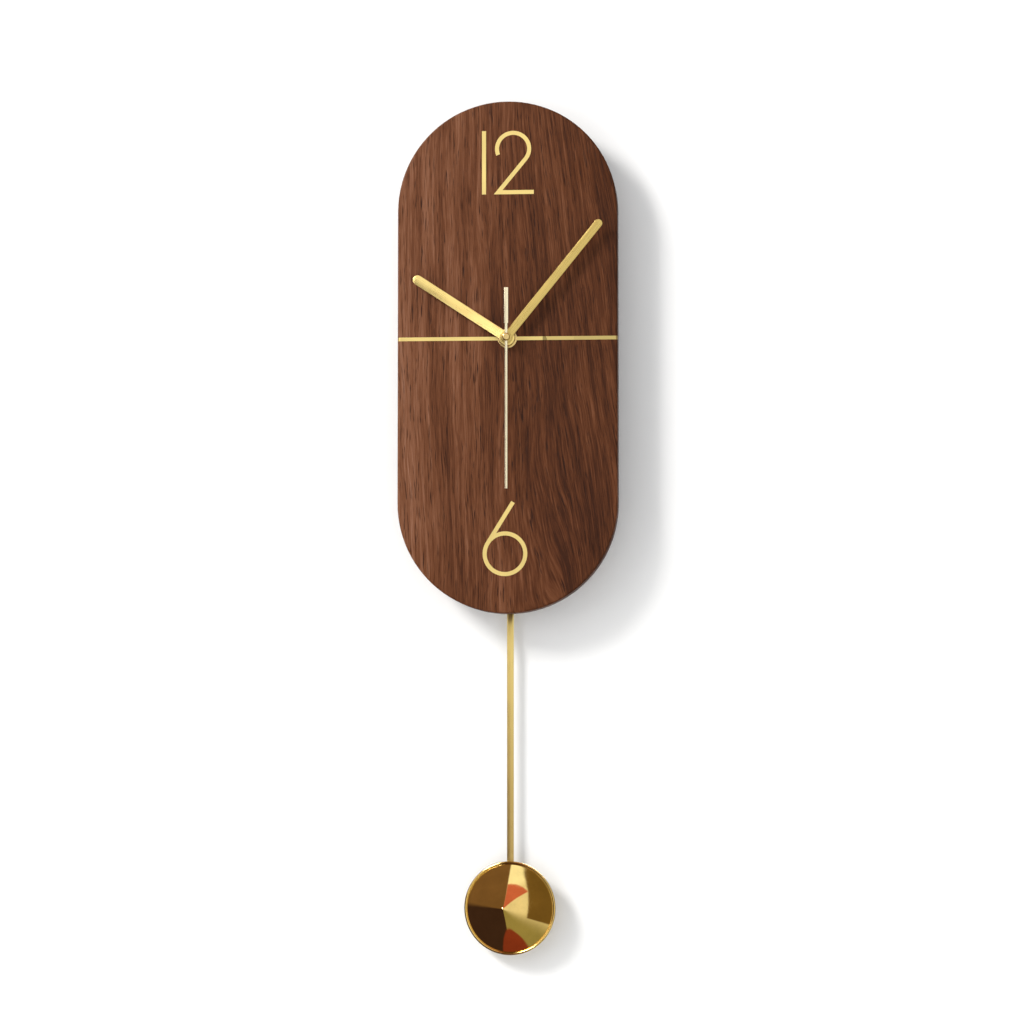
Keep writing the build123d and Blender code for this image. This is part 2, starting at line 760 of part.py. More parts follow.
# ---------------------------------------------------------------- pendulum drive
rod_width = 4.6
rod_thickness = 0.8
rod_back = cover_front - 4.5
rod_front = rod_back - rod_thickness
hanger_back = rod_front - 0.3
hanger_front = hanger_back - 2.4
peg_radius = 1.1
magnet_radius = 3.5
magnet_back = hanger_back - 2.0
magnet_front = hanger_front - 1.4
spool_back = magnet_front - 1.0
spool_flange = 0.8
spool_tube = 2.6
spool_radius = 8.0
with BuildPart() as pendulum_coil_bobbin:
    disc(spool_radius, case_floor + spool_flange, case_floor, 0, coil_z)
    disc(spool_tube, spool_back - spool_flange, case_floor + spool_flange, 0, coil_z)
    disc(spool_radius, spool_back, spool_back - spool_flange, 0, coil_z)
    disc(1.5, spool_back, case_floor, 0, coil_z, mode=Mode.SUBTRACT)
save(pendulum_coil_bobbin, "pendulum_coil_bobbin")

with BuildPart() as pendulum_coil:
    disc(spool_radius - 0.6, spool_back - spool_flange, case_floor + spool_flange, 0, coil_z)
    disc(spool_tube, spool_back - spool_flange, case_floor + spool_flange, 0, coil_z, mode=Mode.SUBTRACT)
save(pendulum_coil, "pendulum_coil")

with BuildPart() as pendulum_pivot_pin:
    disc(pin_radius, cover_front - 1.8, pin_front, 0, hanger_z)
save(pendulum_pivot_pin, "pendulum_pivot_pin")

# rocking hanger: sleeve on the pin, arm with a magnet seat, peg for the rod
sleeve_rear = cover_front - 3.0
sleeve_front = case_floor + 4.9
peg_back = rod_back + 2.1
peg_head = 0.8
with BuildPart() as pendulum_hanger:
    disc(sleeve_radius, sleeve_rear, sleeve_front, 0, hanger_z)
    slab(-2.5, 2.5, peg_z - 2.5, hanger_z, hanger_back, hanger_front)
    disc(magnet_radius + 1.2, hanger_back, magnet_front, 0, coil_z)
    disc(magnet_radius, magnet_back, magnet_front, 0, coil_z, mode=Mode.SUBTRACT)
    disc(peg_radius, peg_back, hanger_back, 0, peg_z)
    disc(peg_radius + 0.6, peg_back, peg_back - peg_head, 0, peg_z)
    disc(pin_radius + run_fit, sleeve_rear, sleeve_front, 0, hanger_z, mode=Mode.SUBTRACT)
save(pendulum_hanger, "pendulum_hanger")

with BuildPart() as pendulum_magnet:
    disc(magnet_radius, magnet_back, magnet_front, 0, coil_z)
save(pendulum_magnet, "pendulum_magnet")

# ---------------------------------------------------------------- rod and bob
bob_radius = 31.75
bob_turn = 8.0
bob_z = board_top - overall_height + bob_radius
rod_foot = bob_z - bob_radius + 3.0
rod_head = hub_z + peg_z + 4.0
with BuildPart() as pendulum_rod:
    with BuildSketch(facing(rod_back)):
        with Locations((0, (rod_head + rod_foot) / 2)):
            Rectangle(rod_width, rod_head - rod_foot)
        with Locations((0, hub_z + peg_z)):
            Circle(peg_radius, mode=Mode.SUBTRACT)
    extrude(amount=rod_thickness)
save(pendulum_rod, "pendulum_rod")

# the bob is turned a little to the left about the upright line through its centre
cone_height = 21.0
cone_bulge = 0.9
shell = 0.6
lip = 0.9
clip_wall = 2.3
clip_half = rod_width / 2 + clip_wall
clip_back = rod_back + 1.2
back_thickness = 0.8
bob_clearance = 4.7
rim_y = rod_front - bob_clearance
bob_out = (-sin(radians(bob_turn)), -cos(radians(bob_turn)), 0)
bob_side = (cos(radians(bob_turn)), -sin(radians(bob_turn)), 0)
bob_section = Plane(origin=(0, rim_y, bob_z), x_dir=bob_side, z_dir=(0, 0, 1))
bob_face = Plane(origin=(0, rim_y, bob_z), x_dir=bob_side, z_dir=bob_out)

# spun brass shell: flat rim, rolled lip, slightly bulged cone with a blunt tip
with BuildPart() as bob_front_shell:
    with BuildSketch(bob_section):
        with BuildLine():
            outer_rim = (bob_radius - lip, 0.0)
            cone_foot = (bob_radius - 2 * lip, -0.5)
            tip = (1.2, -cone_height)
            tip_middle = (0.0, -cone_height - 0.35)
            belly = (0.5 * (cone_foot[0] + tip[0]) + 0.5, 0.5 * (cone_foot[1] + tip[1]) - cone_bulge)
            ThreePointArc(cone_foot, belly, tip)
            Line(tip, tip_middle)
            Line(tip_middle, (0.0, -cone_height + shell))
            inner_foot = (cone_foot[0] - shell, 0.0)
            inner_belly = (belly[0] - 0.35, belly[1] + shell)
            ThreePointArc((0.0, -cone_height + shell), inner_belly, inner_foot)
            Line(inner_foot, outer_rim)
            Line(outer_rim, cone_foot)
        make_face()
        with Locations((bob_radius - lip, 0.0)):
            Circle(lip)
    revolve(axis=Axis((0, rim_y, bob_z), bob_out))
save(bob_front_shell, "bob_front_shell")

with BuildPart() as bob_back_plate:
    with BuildSketch(bob_face):
        Circle(bob_radius - 2 * lip - 0.05)
    extrude(amount=-back_thickness)
save(bob_back_plate, "bob_back_plate")

# clip on the back plate that slides along the flat rod with a friction grip
clip_low = 14.0
clip_tall = 10.0


def plate_rear(x):
    """Depth of the back plate's rear face at a distance x from the rod."""
    return rim_y + (back_thickness - x * sin(radians(bob_turn))) / cos(radians(bob_turn))


with BuildPart() as bob_clip:
    with BuildSketch(Plane.XY.offset(bob_z + clip_low)):
        Polygon(
            (-clip_half, clip_back),
            (-clip_half, plate_rear(-clip_half)),
            (clip_half, plate_rear(clip_half)),
            (clip_half, clip_back),
            align=None,
        )
        with Locations((0, (rod_back + rod_front) / 2)):
            Rectangle(rod_width + 2 * slide_fit, rod_thickness + 2 * slide_fit, mode=Mode.SUBTRACT)
    extrude(amount=clip_tall)
save(bob_clip, "bob_clip")

# ---------------------------------------------------------------- hanging on the wall
keyhole_radius = 4.5
slot_radius = 2.2
slot_rise = 8.0
bracket_sheet = 1.5
bracket_low = -10.0
bracket_high = 14.0
leg_x = 20.5
foot_end = 36.0
bracket_foot = board_back + bracket_sheet
with BuildPart() as hanger_bracket:
    with BuildSketch(Plane.XY.offset(bracket_low)):
        with Locations((0, -bracket_sheet / 2)):
            Rectangle(2 * (leg_x + bracket_sheet), bracket_sheet)
        for way in (-1, 1):
            with Locations((way * (leg_x + bracket_sheet / 2), board_back / 2)):
                Rectangle(bracket_sheet, -board_back)
            with Locations((way * (leg_x + foot_end) / 2, board_back + bracket_sheet / 2)):
                Rectangle(foot_end - leg_x, bracket_sheet)
    extrude(amount=bracket_high - bracket_low)
    with BuildSketch(facing(0)):
        Circle(keyhole_radius)
        with Locations((0, slot_rise / 2)):
            Rectangle(2 * slot_radius, slot_rise)
        with Locations((0, slot_rise)):
            Circle(slot_radius)
    extrude(amount=bracket_sheet, mode=Mode.SUBTRACT)
    with BuildSketch(facing(bracket_foot)):
        with Locations(*screw_spots):
            Circle(screw_radius + hole_clearance)
    extrude(amount=bracket_sheet, mode=Mode.SUBTRACT)
save(hanger_bracket, "hanger_bracket")

head_radius = 2.5 * screw_radius
head_height = 1.6
slot_depth = 0.9
cross_length = 3.2
cross_width = 0.8
with BuildPart() as bracket_screws:
    with BuildSketch(facing(bracket_foot + head_height)):
        with Locations(*screw_spots):
            Circle(head_radius)
    extrude(amount=head_height)
    with BuildSketch(facing(bracket_foot)):
        with Locations(*screw_spots):
            Circle(screw_radius)
    extrude(amount=bracket_sheet + screw_depth)
    with BuildSketch(facing(bracket_foot + head_height)):
        with Locations(*screw_spots):
            Rectangle(cross_length, cross_width)
            Rectangle(cross_width, cross_length)
    extrude(amount=slot_depth, mode=Mode.SUBTRACT)
save(bracket_screws, "bracket_screws")

# spacers that hold the board parallel to the wall
rest_radius = 7.0
rest_x = 42.0
rest_z = board_bottom + 38.0
pad_thickness = 1.0
with BuildPart() as wall_spacers:
    with BuildSketch(facing(-pad_thickness)):
        with Locations((-rest_x, rest_z), (rest_x, rest_z)):
            Circle(rest_radius)
    extrude(amount=-board_back - pad_thickness)
save(wall_spacers, "wall_spacers")

with BuildPart() as wall_pads:
    with BuildSketch(facing(0)):
        with Locations((-rest_x, rest_z), (rest_x, rest_z)):
            Circle(rest_radius)
    extrude(amount=pad_thickness)
save(wall_pads, "wall_pads")
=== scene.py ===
import json
from math import cos, pi, radians, sin

import bmesh
import bpy
from mathutils import Matrix, Vector


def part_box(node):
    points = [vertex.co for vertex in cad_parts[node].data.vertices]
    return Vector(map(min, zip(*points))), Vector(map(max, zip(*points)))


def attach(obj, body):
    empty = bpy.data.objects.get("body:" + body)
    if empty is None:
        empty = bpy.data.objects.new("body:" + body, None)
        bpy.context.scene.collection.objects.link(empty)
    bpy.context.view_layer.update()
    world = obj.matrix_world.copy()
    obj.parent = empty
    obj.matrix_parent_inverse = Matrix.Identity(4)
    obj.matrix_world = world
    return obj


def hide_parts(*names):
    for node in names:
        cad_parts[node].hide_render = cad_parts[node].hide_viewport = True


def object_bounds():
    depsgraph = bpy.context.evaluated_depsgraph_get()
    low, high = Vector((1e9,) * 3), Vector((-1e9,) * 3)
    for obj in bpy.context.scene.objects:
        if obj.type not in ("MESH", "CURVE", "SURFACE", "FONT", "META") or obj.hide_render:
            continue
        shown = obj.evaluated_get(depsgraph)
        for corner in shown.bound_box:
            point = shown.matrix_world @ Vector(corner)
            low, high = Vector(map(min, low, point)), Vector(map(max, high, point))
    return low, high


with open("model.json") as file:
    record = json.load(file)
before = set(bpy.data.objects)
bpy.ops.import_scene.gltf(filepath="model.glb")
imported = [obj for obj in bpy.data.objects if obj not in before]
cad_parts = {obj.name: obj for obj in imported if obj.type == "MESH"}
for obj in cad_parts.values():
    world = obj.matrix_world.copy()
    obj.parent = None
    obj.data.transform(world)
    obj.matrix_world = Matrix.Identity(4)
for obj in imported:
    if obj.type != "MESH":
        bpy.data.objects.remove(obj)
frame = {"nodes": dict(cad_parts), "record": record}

# Pendulum wall clock. Metres, +Z up, the dial faces -Y and the wall plane is y = 0.
cad_low, cad_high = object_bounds()
nodes = frame["nodes"]

# ------------------------------------------------------------------ sizes read from the frame
board_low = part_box("walnut_board")[0]
board_front = board_low.y
bush_low, bush_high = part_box("threaded_bush")
hub = (bush_low + bush_high) / 2
bob_low, bob_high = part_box("bob_front_shell")

# ------------------------------------------------------------------ the part's own angles and depth
# hands: clockwise from the 12; bob: its turn about the rod and the depth of its rim
hour_clock = radians(303.25)
minute_clock = radians(39.0)
bob_turn = radians(8.0)
bob_depth = -0.013


# ------------------------------------------------------------------ node materials
def add_node(tree, kind, inputs=None, **settings):
    """New node with its settings made, its inputs linked to sockets or set to values."""
    made = tree.nodes.new(kind)
    for setting, value in settings.items():
        setattr(made, setting, value)
    for socket, value in (inputs or {}).items():
        if isinstance(value, bpy.types.NodeSocket):
            tree.links.new(value, made.inputs[socket])
        else:
            made.inputs[socket].default_value = value
    return made


class Recipe:
    """A procedural material: object-space textures feeding one Principled shader."""

    def __init__(self, name, **sockets):
        self.material = bpy.data.materials.new(name)
        self.material.use_nodes = True
        self.tree = self.material.node_tree
        self.shader = self.tree.nodes["Principled BSDF"]
        for socket, value in sockets.items():
            self.shader.inputs[socket.replace("_", " ")].default_value = value
        self.place = self.node("ShaderNodeTexCoord").outputs["Object"]

    def node(self, kind, inputs=None, **settings):
        return add_node(self.tree, kind, inputs, **settings)

    def stretched(self, scale, turn=(0, 0, 0), place=None):
        """Object space in metres, turned and then scaled along each axis."""
        turned = self.node("ShaderNodeMapping", {"Vector": place or self.place, "Rotation": turn})
        scaled = self.node("ShaderNodeMapping", {"Vector": turned.outputs[0], "Scale": scale})
        return scaled.outputs[0]

    def noise(self, scale, detail=4.0, rough=0.55, turn=(0, 0, 0), place=None, distortion=0.0):
        inputs = {
            "Vector": self.stretched(scale, turn, place),
            "Scale": 1.0,
            "Detail": detail,
            "Roughness": rough,
            "Distortion": distortion,
        }
        return self.node("ShaderNodeTexNoise", inputs).outputs["Fac"]

    def cells(self, scale):
        inputs = {"Vector": self.stretched(scale), "Scale": 1.0}
        return self.node("ShaderNodeTexVoronoi", inputs).outputs["Distance"]

    def bands(self, scale, axis, distortion):
        inputs = {"Vector": self.place, "Scale": scale, "Distortion": distortion}
        return self.node("ShaderNodeTexWave", inputs, bands_direction=axis).outputs["Fac"]

    def ramp(self, value, stops):
        made = self.node("ShaderNodeValToRGB", {"Fac": value})
        elements = made.color_ramp.elements
        while len(elements) < len(stops):
            elements.new(0.5)
        for element, (position, colour) in zip(elements, stops):
            element.position = position
            element.color = (*colour, 1.0)
        return made.outputs["Color"]

    def math(self, operation, first, second=0.0, third=0.0):
        inputs = {0: first, 1: second, 2: third}
        return self.node("ShaderNodeMath", inputs, operation=operation).outputs[0]

    def between(self, value, low, high, to_low, to_high, smooth=False):
        inputs = {"Value": value, "From Min": low, "From Max": high, "To Min": to_low, "To Max": to_high}
        kind = "SMOOTHSTEP" if smooth else "LINEAR"
        return self.node("ShaderNodeMapRange", inputs, interpolation_type=kind).outputs["Result"]

    def mix(self, factor, first, second):
        inputs = {0: factor, 6: first, 7: second}
        return self.node("ShaderNodeMix", inputs, data_type="RGBA").outputs[2]

    def colour(self, output):
        self.tree.links.new(output, self.shader.inputs["Base Color"])

    def roughness(self, output):
        self.tree.links.new(output, self.shader.inputs["Roughness"])

    def bump(self, height, depth):
        made = self.node("ShaderNodeBump", {"Height": height, "Distance": depth, "Strength": 1.0})
        self.tree.links.new(made.outputs[0], self.shader.inputs["Normal"])


def walnut():
    """Oiled black walnut: upright grain that leans on the right, brown streaks, open pores."""
    wood = Recipe("walnut", Specular_IOR_Level=0.14)
    axes = wood.node("ShaderNodeSeparateXYZ", {"Vector": wood.place}).outputs
    # sideways shift of the grain per metre of height, left half and right edge
    left_lean, right_lean = 0.015, 0.13
    lean = wood.between(axes["X"], -0.015, 0.06, left_lean, right_lean, smooth=True)
    wander_width = 0.012
    drift = wood.noise((22, 22, 7), detail=2)
    wander = wood.math("MULTIPLY_ADD", drift, wander_width, axes["X"])
    across = wood.math("MULTIPLY_ADD", axes["Z"], lean, wander)
    grain_inputs = {"X": across, "Y": axes["Y"], "Z": axes["Z"]}
    grain = wood.node("ShaderNodeCombineXYZ", grain_inputs).outputs[0]
    broad = wood.noise((42, 42, 3.0), detail=3, place=grain)
    streak = wood.noise((420, 420, 12), detail=6, rough=0.62, place=grain)
    fibre = wood.noise((2000, 2000, 55), detail=4, rough=0.6, place=grain)
    pore = wood.noise((1500, 1500, 75), detail=2, rough=0.5, place=grain)
    base_tone = 0.088
    broad_share, streak_share, fibre_share = 0.20, 0.36, 0.34
    tone = wood.math("MULTIPLY_ADD", streak, streak_share, base_tone)
    tone = wood.math("MULTIPLY_ADD", broad, broad_share, tone)
    tone = wood.math("MULTIPLY_ADD", fibre, fibre_share, tone)
    # painted sheen: paler wood towards the left edge of the board, and painted shade: darker towards the
    # right
    painted_sheen_lift, painted_shade_drop = 0.060, -0.070
    tone = wood.math("ADD", tone, wood.between(axes["X"], -0.080, 0.070, painted_sheen_lift, painted_shade_drop))
    browns = [
        (0.42, (0.038, 0.0095, 0.0022)),
        (0.49, (0.080, 0.0225, 0.0060)),
        (0.55, (0.122, 0.0395, 0.0140)),
        (0.62, (0.185, 0.0720, 0.0340)),
        (0.72, (0.270, 0.1300, 0.0800)),
    ]
    body = wood.ramp(tone, browns)
    pore_brown = (0.026, 0.0075, 0.0030, 1)
    open_pore = wood.between(pore, 0.60, 0.72, 0.0, 1.0)
    wood.colour(wood.mix(open_pore, body, pore_brown))
    wood.roughness(wood.between(fibre, 0.3, 0.7, 0.40, 0.60))
    relief = wood.math("MULTIPLY_ADD", open_pore, -1.0, wood.math("MULTIPLY", fibre, 0.5))
    pore_depth = 0.00016
    wood.bump(relief, pore_depth)
    return wood.material


def brushed_metal(name, colour, along, rough=(0.22, 0.38), scratch=0.000003, tint=0.06, painted_shade_heights=None):
    """Brushed metal: hair lines along one direction, faint darker handling marks.

    The optional pair of heights bounds painted shade: the metal darkens from none at the first height to
    full at the second."""
    hair_across, hair_along = 5200.0, 45.0
    full_painted_shade, painted_shade_brown = 0.62, (0.34, 0.20, 0.07, 1)
    metal = Recipe(name, Metallic=1.0, Anisotropic=0.25)
    lines = metal.noise((hair_across, hair_across, hair_along), detail=5, rough=0.7, turn=along)
    haze = metal.noise((60, 60, 60), detail=2)
    dark = tuple(channel * (1.0 - 2.2 * tint) for channel in colour)
    light = tuple(min(1.0, channel * (1.0 + tint)) for channel in colour)
    shade = metal.math("MULTIPLY_ADD", haze, 0.3, metal.math("MULTIPLY", lines, 0.7))
    clean = metal.ramp(shade, [(0.30, dark), (0.52, colour), (0.72, light)])
    if painted_shade_heights:
        # painted shade: the metal turns brown between the two heights
        height = metal.node("ShaderNodeSeparateXYZ", {"Vector": metal.place}).outputs["Z"]
        painted_shade = metal.between(height, *painted_shade_heights, 0.0, full_painted_shade, smooth=True)
        clean = metal.mix(painted_shade, clean, painted_shade_brown)
    metal.colour(clean)
    metal.roughness(metal.between(shade, 0.3, 0.7, *rough))
    metal.bump(lines, scratch)
    return metal.material


def polished_brass(name, colour):
    """Mirror-polished lacquered brass with faint finger haze."""
    metal = Recipe(name, Metallic=1.0, Coat_Weight=0.3, Coat_Roughness=0.03)
    haze = metal.noise((70, 70, 70), detail=5, rough=0.6)
    fine = metal.noise((900, 900, 900), detail=3)
    dark = tuple(channel * 0.86 for channel in colour)
    metal.colour(metal.ramp(haze, [(0.35, dark), (0.62, colour)]))
    metal.roughness(metal.between(metal.math("MULTIPLY", haze, fine), 0.15, 0.40, 0.025, 0.085))
    metal.bump(haze, 0.00002)
    return metal.material


def moulded_plastic(name, colour, rough, grain=0.00002):
    """Moulded plastic: fine spark-eroded grain, slow changes of colour and gloss."""
    plastic = Recipe(name, Specular_IOR_Level=0.45)
    fine = plastic.noise((2600, 2600, 2600), detail=2)
    slow = plastic.noise((60, 60, 60), detail=3)
    dark = tuple(channel * 0.82 for channel in colour)
    light = tuple(min(1.0, channel * 1.12 + 0.004) for channel in colour)
    shade = plastic.mix(0.5, fine, slow)
    plastic.colour(plastic.ramp(shade, [(0.38, dark), (0.5, colour), (0.62, light)]))
    plastic.roughness(plastic.between(slow, 0.3, 0.7, rough - 0.08, rough + 0.10))
    plastic.bump(fine, grain)
    return plastic.material


def plated_steel(name, colour, rough=0.34):
    """Zinc-plated sheet: soft spangle cells and rolling lines."""
    steel = Recipe(name, Metallic=1.0)
    spangle = steel.cells((420, 420, 420))
    rolled = steel.noise((2400, 2400, 60), detail=4, turn=(0, radians(90), 0))
    shade = steel.mix(0.5, spangle, rolled)
    dark = tuple(channel * 0.72 for channel in colour)
    steel.colour(steel.ramp(shade, [(0.25, dark), (0.55, colour)]))
    steel.roughness(steel.between(spangle, 0.1, 0.8, rough - 0.08, rough + 0.14))
    steel.bump(rolled, 0.000012)
    return steel.material


def magnet_grey(name):
    """Sintered ferrite: dark grey, grainy, with chipped specks."""
    ferrite = Recipe(name, Metallic=0.35, Specular_IOR_Level=0.5)
    grit = ferrite.noise((3000, 3000, 3000), detail=4)
    ferrite.colour(ferrite.ramp(grit, [(0.35, (0.03, 0.03, 0.032)), (0.7, (0.11, 0.11, 0.115))]))
    ferrite.roughness(ferrite.between(grit, 0.3, 0.7, 0.45, 0.7))
    ferrite.bump(grit, 0.00003)
    return ferrite.material


def enamelled_wire(name):
    """Turns of enamelled copper wire laid side by side."""
    wire = Recipe(name, Metallic=0.85, Coat_Weight=0.6, Coat_Roughness=0.15)
    turns = wire.bands(1900.0, "Z", 0.6)
    shade = wire.mix(0.35, turns, wire.noise((500, 500, 500)))
    wire.colour(wire.ramp(shade, [(0.2, (0.16, 0.045, 0.015)), (0.75, (0.62, 0.22, 0.08))]))
    wire.roughness(wire.between(turns, 0.0, 1.0, 0.42, 0.24))
    wire.bump(turns, 0.00006)
    return wire.material


def circuit_laminate(name):
    """Green solder mask over copper tracks."""
    laminate = Recipe(name, Coat_Weight=0.4, Coat_Roughness=0.2)
    tracks = laminate.between(laminate.bands(260.0, "Z", 3.0), 0.62, 0.68, 0.0, 1.0)
    weave = laminate.noise((1500, 1500, 1500), detail=2)
    base = laminate.ramp(weave, [(0.3, (0.008, 0.07, 0.025)), (0.7, (0.014, 0.12, 0.045))])
    laminate.colour(laminate.mix(tracks, base, (0.05, 0.22, 0.07, 1)))
    laminate.roughness(laminate.between(weave, 0.3, 0.7, 0.35, 0.5))
    laminate.bump(tracks, 0.00003)
    return laminate.material


def film_jacket(name):
    """Printed plastic jacket of the cell: dark body, copper-coloured band at the positive end."""
    film = Recipe(name, Coat_Weight=0.5, Coat_Roughness=0.12, Specular_IOR_Level=0.5)
    left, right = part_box("aa_battery")
    band_edge, ring_edge = right.x - 0.0165, left.x + 0.0019
    blur = 0.0004
    along = film.node("ShaderNodeSeparateXYZ", {"Vector": film.place}).outputs["X"]
    band = film.between(along, band_edge, band_edge + blur, 0.0, 1.0)
    ring = film.between(along, ring_edge + 0.75 * blur, ring_edge, 0.0, 1.0)
    print_grain = film.noise((1400, 1400, 1400), detail=2)
    body = film.ramp(print_grain, [(0.3, (0.012, 0.013, 0.016)), (0.7, (0.024, 0.026, 0.031))])
    copper = film.ramp(print_grain, [(0.3, (0.48, 0.19, 0.06)), (0.7, (0.60, 0.26, 0.09))])
    film.colour(film.mix(film.math("MAXIMUM", band, ring), body, copper))
    film.roughness(film.between(print_grain, 0.3, 0.7, 0.22, 0.34))
    film.bump(film.noise((160, 160, 160), detail=2), 0.00006)
    return film.material


def soft_rubber(name):
    rubber = Recipe(name, Specular_IOR_Level=0.3)
    dust = rubber.noise((700, 700, 700), detail=5)
    rubber.colour(rubber.ramp(dust, [(0.35, (0.010, 0.010, 0.010)), (0.75, (0.045, 0.043, 0.040))]))
    rubber.roughness(rubber.between(dust, 0.3, 0.7, 0.7, 0.9))
    rubber.bump(dust, 0.00005)
    return rubber.material


def turned_beech(name):
    beech = Recipe(name, Specular_IOR_Level=0.35)
    grain = beech.noise((900, 60, 900), detail=5, rough=0.6)
    fleck = beech.between(beech.noise((2600, 300, 2600), detail=2), 0.60, 0.70, 0.0, 1.0)
    base = beech.ramp(grain, [(0.3, (0.42, 0.24, 0.12)), (0.7, (0.62, 0.40, 0.22))])
    beech.colour(beech.mix(fleck, base, (0.30, 0.15, 0.07, 1)))
    beech.roughness(beech.between(grain, 0.3, 0.7, 0.5, 0.68))
    beech.bump(grain, 0.00006)
    return beech.material


def pressed_felt(name):
    felt = Recipe(name, Sheen_Weight=0.5, Sheen_Roughness=0.5, Specular_IOR_Level=0.1)
    fibre = felt.noise((1800, 1800, 1800), detail=6, rough=0.75, distortion=1.5)
    felt.colour(felt.ramp(fibre, [(0.3, (0.03, 0.027, 0.024)), (0.7, (0.11, 0.10, 0.088))]))
    felt.roughness(felt.between(fibre, 0.3, 0.7, 0.85, 1.0))
    felt.bump(fibre, 0.0002)
    return felt.material


gilt = (0.93, 0.74, 0.29)
# the minute hand's brass, darkened as painted shade
shaded_minute_gilt = (0.66, 0.50, 0.17)
pale_gilt = (0.98, 0.90, 0.66)
inlay_rough = (0.26, 0.42)
upright = (0, 0, 0)
level = (0, radians(90), 0)
finishes = {
    "walnut": walnut(),
    "inlay_brass": brushed_metal("inlay_brass", gilt, level, rough=inlay_rough),
    "hand_brass": brushed_metal("hand_brass", gilt, level),
    "second_gilt": brushed_metal("second_gilt", pale_gilt, upright, rough=(0.24, 0.32),
                                 scratch=0.000001, tint=0.015),
    "shaft_brass": brushed_metal("shaft_brass", (0.80, 0.60, 0.27), level, rough=(0.2, 0.34)),
    "bob_brass": polished_brass("bob_brass", (0.86, 0.62, 0.22)),
    # painted shade on the rod: darker from the board down to the bob
    "rod_brass": brushed_metal("rod_brass", (0.84, 0.66, 0.25), upright, rough=(0.24, 0.38),
                               painted_shade_heights=(board_low.z, bob_high.z)),
    "wheel_brass": brushed_metal("wheel_brass", (0.72, 0.50, 0.20), level),
    "black_plastic": moulded_plastic("black_plastic", (0.014, 0.014, 0.015), 0.5),
    "white_plastic": moulded_plastic("white_plastic", (0.72, 0.70, 0.64), 0.45, 0.00001),
    "red_plastic": moulded_plastic("red_plastic", (0.42, 0.022, 0.016), 0.42, 0.00001),
    "pendulum_plastic": moulded_plastic("pendulum_plastic", (0.62, 0.60, 0.53), 0.45),
    "chip_black": moulded_plastic("chip_black", (0.01, 0.01, 0.011), 0.6),
    "steel": plated_steel("steel", (0.62, 0.63, 0.65)),
    "bracket_steel": plated_steel("bracket_steel", (0.56, 0.57, 0.58), 0.40),
    "stator_iron": plated_steel("stator_iron", (0.36, 0.36, 0.38), 0.45),
    "crystal_can": plated_steel("crystal_can", (0.72, 0.73, 0.74), 0.22),
    "magnet": magnet_grey("magnet"),
    "copper": enamelled_wire("copper"),
    "board_green": circuit_laminate("board_green"),
    "cell_jacket": film_jacket("cell_jacket"),
    "rubber": soft_rubber("rubber"),
    "beech": turned_beech("beech"),
    "felt": pressed_felt("felt"),
}


def coat(thing, material):
    """One material on every face of an object."""
    thing.data.materials.clear()
    thing.data.materials.append(material)


for entry in frame["record"]["subparts"]:
    coat(nodes[entry["node"]], finishes[entry["material_slot"]])

# hour and minute hand are brushed along their own length; the minute hand's brass is darker as painted shade
coat(nodes["hour_hand"], brushed_metal("hour_hand_brass", gilt, (0, -hour_clock, 0)))
coat(nodes["minute_hand"], brushed_metal("minute_hand_shaded_brass", shaded_minute_gilt, (0, -minute_clock, 0)))
# the cap on the second hand is of the darker brass of the hand shaft
coat(nodes["second_cap"], finishes["shaft_brass"])

# the strips of the cross line get painted light and shade, one tone each, and the upright figures are
# brushed up and down
painted_strip_shading = (1.0, 1.03, 1.0, 0.95, 0.36, 0.74, 0.66)
for number, tone in enumerate(painted_strip_shading, start=1):
    strip = f"cross_strip_{number}"
    shaded_strip_colour = tuple(channel * tone for channel in gilt)
    coat(nodes[strip], brushed_metal(strip, shaded_strip_colour, level, rough=inlay_rough))
upright_inlay = brushed_metal("upright_inlay_brass", gilt, upright, rough=inlay_rough)
for name in ("figure_one_inlay", "figure_two_inlay", "figure_six_inlay"):
    coat(nodes[name], upright_inlay)


# ------------------------------------------------------------------ softened edges
crease = radians(32)
bevel_corner = radians(40)


def smoothing_group():
    """Node group: smooth faces, but keep the edges that are sharper than the crease angle."""
    group = bpy.data.node_groups.new("smooth_by_angle", "GeometryNodeTree")
    group.interface.new_socket("Geometry", in_out="INPUT", socket_type="NodeSocketGeometry")
    group.interface.new_socket("Geometry", in_out="OUTPUT", socket_type="NodeSocketGeometry")
    first = group.nodes.new("NodeGroupInput")
    last = group.nodes.new("NodeGroupOutput")
    faces = group.nodes.new("GeometryNodeSetShadeSmooth")
    edges = group.nodes.new("GeometryNodeSetShadeSmooth")
    edges.domain = "EDGE"
    edges.inputs["Shade Smooth"].default_value = False
    angle = group.nodes.new("GeometryNodeInputMeshEdgeAngle")
    sharp = group.nodes.new("FunctionNodeCompare")
    sharp.operation = "GREATER_THAN"
    sharp.inputs[1].default_value = crease
    group.links.new(first.outputs[0], faces.inputs["Geometry"])
    group.links.new(faces.outputs[0], edges.inputs["Geometry"])
    group.links.new(angle.outputs["Unsigned Angle"], sharp.inputs[0])
    group.links.new(sharp.outputs[0], edges.inputs["Selection"])
    group.links.new(edges.outputs[0], last.inputs[0])
    return group


smooth_by_angle = smoothing_group()


def soften(thing, width):
    """Welds the seams of an object, rounds its sharp edges if it has a width, smooths the rest."""
    weld = thing.modifiers.new("weld", "WELD")
    weld.merge_threshold = 1e-6
    if width:
        bevel = thing.modifiers.new("bevel", "BEVEL")
        bevel.width = width
        bevel.segments = 2
        bevel.limit_method = "ANGLE"
        bevel.angle_limit = bevel_corner
        bevel.use_clamp_overlap = True
    smooth = thing.modifiers.new("smooth", "NODES")
    smooth.node_group = smooth_by_angle


